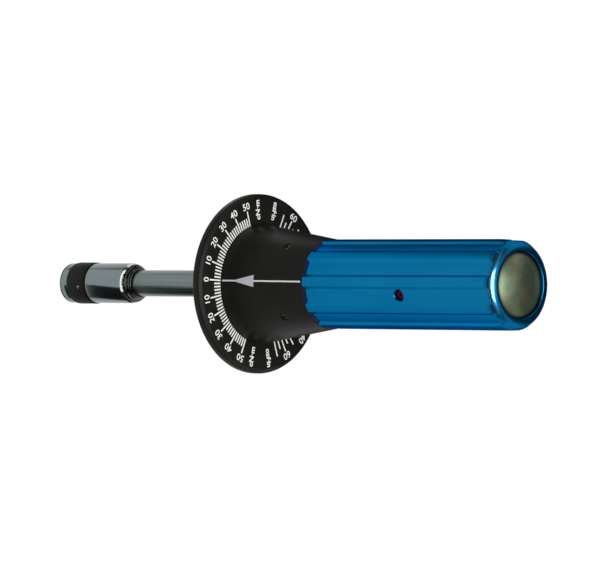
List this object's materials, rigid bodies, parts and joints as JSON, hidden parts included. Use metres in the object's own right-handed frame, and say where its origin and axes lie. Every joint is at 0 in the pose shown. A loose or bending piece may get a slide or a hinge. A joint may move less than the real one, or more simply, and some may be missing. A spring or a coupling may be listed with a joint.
{
  "type": "torque screwdriver",
  "caption": "Dial-indicating torque screwdriver: fluted grip, pointer skirt, scale disc on a slim shaft and a sprung quick-release chuck for hex bits.",
  "frame": {"origin": "centre of the hex bit socket's floor, on the tool's axis", "axes": "+X along the tool's axis towards the end of the handle, +Z from the axis towards the pointer and the zero of the main scale, +Y to complete a right-handed frame"},
  "size_m": [0.2374, 0.0688, 0.0688],
  "materials": {
    "blue_aluminium": "satin blue anodised, fine lines along the tool",
    "black_aluminium": "matt black",
    "satin_steel": "satin turned steel",
    "black_rubber": "matt",
    "spring_steel": "drawn",
    "dark_screw": "blackened",
    "bronze": "turned bronze",
    "olive_zinc": "yellow-passivated, satin",
    "machined_aluminium": "turned"
  },
  "bodies": {
    "handle": {"handle": "blue_aluminium", "end_plug": "olive_zinc", "pointer_skirt": "black_aluminium", "skirt_screw_1": "dark_screw", "skirt_screw_2": "dark_screw", "skirt_screw_3": "dark_screw", "skirt_screw_4": "dark_screw", "bearing_housing": "machined_aluminium", "front_bush": "bronze", "rear_bush": "bronze", "stop_pin_1": "satin_steel", "stop_pin_2": "satin_steel", "anchor_block": "satin_steel", "anchor_screw": "dark_screw"},
    "drive": {"drive_shaft": "satin_steel", "shaft_circlip": "spring_steel", "torsion_bar": "spring_steel", "stop_flange": "satin_steel", "stop_key": "spring_steel", "thrust_washer": "bronze", "dial": "black_aluminium", "dial_hub": "machined_aluminium", "dial_screw_1": "dark_screw", "dial_screw_2": "dark_screw", "dial_screw_3": "dark_screw", "hub_screw": "dark_screw", "chuck_body": "satin_steel", "chuck_pin": "spring_steel", "tail_ring": "satin_steel", "release_spring": "spring_steel", "spring_washer": "satin_steel", "chuck_circlip": "spring_steel"},
    "release_sleeve": {"release_sleeve": "satin_steel", "grip_ring": "black_rubber", "grip_pin": "satin_steel"},
    "detent_ball": {"detent_ball": "spring_steel"}
  },
  "joints": [
    {"name": "torque_deflection", "type": "hinge", "parent": "handle", "child": "drive", "pos_m": [0.1, 0, 0], "axis": [1, 0, 0], "range_deg": [-75, 75], "stiffness_Nm_per_rad": 0.409},
    {"name": "sleeve_slide", "type": "slide", "parent": "drive", "child": "release_sleeve", "axis": [1, 0, 0], "range_m": [0, 0.004], "stiffness_N_per_m": 800, "springref_m": -0.003, "deforming": ["release_spring"]},
    {"name": "ball_slide", "type": "slide", "parent": "drive", "child": "detent_ball", "axis": [0, -0.2588, 0.9659], "range_m": [0, 0.00045]}
  ],
  "couplings": [
    {"joint": "ball_slide", "follows": "sleeve_slide", "ratio": 0.1125}
  ]
}
